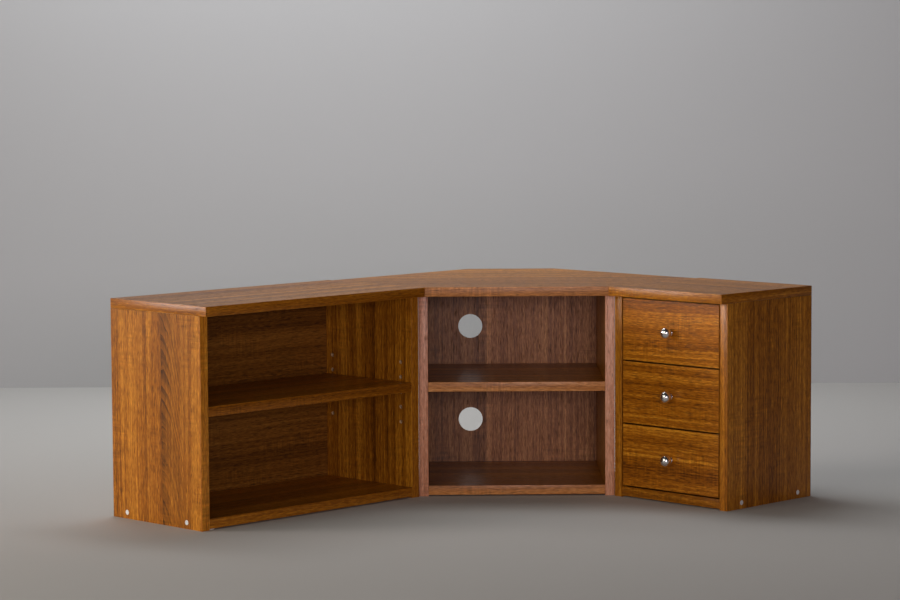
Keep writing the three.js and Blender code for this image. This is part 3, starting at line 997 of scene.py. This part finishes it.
def runner(drawer, side):
    """A plastic strip with two sunk screws, on the cabinet's side."""
    node = f"{drawer}_runner_{side}"
    low, high = local_box(node)
    inward = unit(X, 1.0 if side == "left" else -1.0)
    face_x = high.x if side == "left" else low.x
    middle_z = (low.z + high.z) / 2
    fixings = [
        Vector((face_x, low.y + (high.y - low.y) * share, middle_z)) for share in FIXING_PLACES]
    bm = bmesh.new()
    add_box(bm, low, high)
    bmesh.ops.bevel(
        bm, geom=bm.edges[:], offset=RUNNER_ROUNDING, segments=4, profile=0.5, affect="EDGES",
        clamp_overlap=True)

    def wells(cutters):
        wide = FIXING_HEAD_R + FIT
        well = [(0.0, -FIXING_SINK), (wide, -FIXING_SINK), (wide, PAST), (0.0, PAST)]
        for place in fixings:
            add_turned(cutters, well, place, inward, segments=32)

    mesh = as_mesh(bm, node + "_shape", wells)
    shade_piece(mesh, node)
    body = body_of_node(node)
    finish_object(node + "_strip", mesh, body, (RUNNER_BROWN,), node)
    profile = pan_screw_profile(FIXING_HEAD_R, FIXING_HEAD_H, FIXING_SHANK_R, FIXING_LENGTH)
    for index, place in enumerate(fixings):
        seat = place - inward * (FIXING_SINK - FIT)

        def recess(bm, top=seat + inward * FIXING_HEAD_H):
            cross_recess(bm, top, -inward, FIXING_CROSS, FIXING_CROSS_DEPTH)

        turned_piece(
            node, f"{node}_fixing_{index}", profile, seat, -inward, body, ZINC,
            segments=32, recess=recess,
        )


def build_drawers():
    for drawer in DRAWERS:
        board(
            f"{drawer}_front", X, Y, ALL_ROUND, faces=WALNUT_DRAWER_PAINTED_LIGHT,
            cutter=front_cutter(drawer),
        )
        for side in ("left", "right"):
            board(
                f"{drawer}_{side}_side", Y, X, ALL_ROUND, faces=WALNUT_BOX,
                edge=WALNUT_BOX, cutter=side_cutter(drawer, side),
            )
            runner(drawer, side)
        board(f"{drawer}_back", X, Y, ALL_ROUND, faces=WALNUT_BOX, edge=WALNUT_BOX)
        board(
            f"{drawer}_tray", X, Z, (), faces=WALNUT_BOX, rounding=THIN_ROUNDING)
        knob_and_screw(drawer)


# ---- Glides under the bottoms ----
GLIDE_R, GLIDE_INSET, GLIDE_DEEP_INSET = 8 * MM, 10 * MM, 40 * MM
GLIDE_COLUMNS = {"left": 3, "centre": 2, "right": 2}
GLIDE_ROUND_SHARE = 0.6  # of its height


def glides():
    """White nail-on glides, which fill the gap between each bottom and the floor."""
    for prefix, columns in GLIDE_COLUMNS.items():
        node = f"{prefix}_bottom"
        low, high = local_box(node)
        height = low.z - 2 * FIT
        round_r = height * GLIDE_ROUND_SHARE
        profile = [(0.0, 0.0), (GLIDE_R, 0.0), (GLIDE_R, height - round_r)]
        profile += arc((GLIDE_R - round_r, height - round_r), round_r, 0, 90, 6)
        profile += [(0.0, height)]
        for i in range(columns):
            x = low.x + GLIDE_INSET + (high.x - low.x - 2 * GLIDE_INSET) * i / (columns - 1)
            front = GLIDE_INSET if prefix == "left" and i == 0 else GLIDE_DEEP_INSET
            for row, y in (("front", low.y + front), ("rear", high.y - GLIDE_DEEP_INSET)):
                place = Vector((x, y, low.z - FIT))
                turned_piece(
                    node, f"{prefix}_glide_{row}_{i}", profile, place, unit(Z, -1.0), "carcass",
                    GLIDE_WHITE, segments=40)


# ---- The room: floor, backdrop, lights, camera ----
FLOOR_HALF = 14.0
WALL_Y, WALL_TOP = 2.0, 4.0
FLOOR_TONE, WALL_TONE = colour(200, 197, 194), colour(196, 196, 198)
SKY_TONE, SKY_STRENGTH = (0.92, 0.95, 1.0, 1.0), 0.02
WIDE = 180  # degrees: light all round the front of the panel
# Each light: name, place, target, size, power in watts, tone and beam angle in degrees.
LIGHTS = (
    ("key", (-2.4, -2.5, 1.4), (-0.35, -0.15, 0.25), (2.6, 2.3), 31.0, (1.0, 0.95, 0.80), WIDE),
    ("side", (-6.5, -0.6, 1.25), (0.2, -0.2, 0.40), (2.8, 2.2), 18.0, (1.0, 0.89, 0.84), 40),
    ("front", (0.8, -6.4, 1.25), (0.1, 0.0, 0.3), (2.2, 0.8), 62.0, (1.0, 0.88, 0.90), WIDE),
    ("low", (-0.3, -5.2, 0.30), (0.1, 0.0, 0.3), (2.4, 0.5), 16.0, (1.0, 0.84, 0.95), WIDE),
    ("wall", (-0.5, 0.9, 2.6), (-0.1, WALL_Y, 0.9), (2.2, 1.0), 43.0, (0.94, 0.98, 1.0), WIDE),
)


def stage_object(name, bm, material):
    mesh = as_mesh(bm, name)
    mesh.materials.append(material)
    made = bpy.data.objects.new(name, mesh)
    bpy.context.scene.collection.objects.link(made)


def plain_stage_material(name, tone, one_sided=False):
    """A matt surface with a faint cloud; one_sided makes it clear from behind."""
    t = Tree(name)
    cloud = t.noise(t.nodes.new("ShaderNodeTexCoord").outputs["Object"], detail=2.0, scale=0.7)
    faint = 0.12
    base = t.mix(t.math("MULTIPLY", cloud, faint), tone, darker(tone, 0.8))
    material = t.surface(Base_Color=base, Roughness=0.9, Specular_IOR_Level=0.0)
    if one_sided:
        principled = t.output.inputs["Surface"].links[0].from_socket
        see_through = t.nodes.new("ShaderNodeBsdfTransparent")
        facing = t.nodes.new("ShaderNodeNewGeometry").outputs["Backfacing"]
        blend = t.nodes.new("ShaderNodeMixShader")
        t.feed(blend.inputs[0], facing)
        t.links.new(principled, blend.inputs[1])
        t.links.new(see_through.outputs[0], blend.inputs[2])
        t.links.new(blend.outputs[0], t.output.inputs["Surface"])
    return material


def build_stage():
    floor = bmesh.new()
    bmesh.ops.create_grid(floor, x_segments=1, y_segments=1, size=FLOOR_HALF)
    stage_object("floor", floor, plain_stage_material("floor_grey", FLOOR_TONE))
    # a wall behind the object; seen from behind it isn't there
    wall = bmesh.new()
    corners = (
        (-FLOOR_HALF, 0.0), (FLOOR_HALF, 0.0), (FLOOR_HALF, WALL_TOP), (-FLOOR_HALF, WALL_TOP))
    wall.faces.new([wall.verts.new((x, WALL_Y, z)) for x, z in corners])
    stage_object("backdrop", wall, plain_stage_material("wall_grey", WALL_TONE, one_sided=True))


def area_light(name, place, target, size, power, tone, spread):
    light = bpy.data.lights.new(name, "AREA")
    light.shape = "RECTANGLE"
    light.size, light.size_y = size
    light.energy = power
    light.color = tone
    light.spread = math.radians(spread)
    made = bpy.data.objects.new(name, light)
    made.location = place
    made.rotation_mode = "QUATERNION"
    made.rotation_quaternion = (Vector(target) - Vector(place)).to_track_quat("-Z", "Y")
    made.visible_camera = False
    bpy.context.scene.collection.objects.link(made)


def build_lights():
    world = bpy.data.worlds.new("studio")
    bpy.context.scene.world = world
    world.use_nodes = True
    background = world.node_tree.nodes["Background"]
    background.inputs["Color"].default_value = SKY_TONE
    background.inputs["Strength"].default_value = SKY_STRENGTH
    for light in LIGHTS:
        area_light(*light)


# The camera stands about 6 m in front of the object, at the height of an adult's waist.
CAMERA_PLACE = Vector((-0.057, -6.113, 0.961))
CAMERA_YAW, CAMERA_PITCH, CAMERA_ROLL = (math.radians(a) for a in (0.20, -5.06, -0.31))
CAMERA_LENS, SENSOR_WIDTH = 115.2, 36.0  # both in millimetres


def build_camera():
    data = bpy.data.cameras.new("camera")
    data.lens = CAMERA_LENS
    data.sensor_width = SENSOR_WIDTH
    data.clip_end = 100.0
    forward = Vector((
        math.sin(CAMERA_YAW) * math.cos(CAMERA_PITCH),
        math.cos(CAMERA_YAW) * math.cos(CAMERA_PITCH),
        math.sin(CAMERA_PITCH),
    ))
    made = bpy.data.objects.new("camera", data)
    made.location = CAMERA_PLACE
    made.rotation_mode = "QUATERNION"
    level = forward.to_track_quat("-Z", "Y")
    made.rotation_quaternion = level @ Matrix.Rotation(CAMERA_ROLL, 3, "Z").to_quaternion()
    bpy.context.scene.collection.objects.link(made)
    bpy.context.scene.camera = made


build_camera()
build_stage()
build_lights()
build_cases()
side_screws()
shelf_pins()
build_drawers()
glides()
bpy.context.scene.view_settings.view_transform = "Standard"
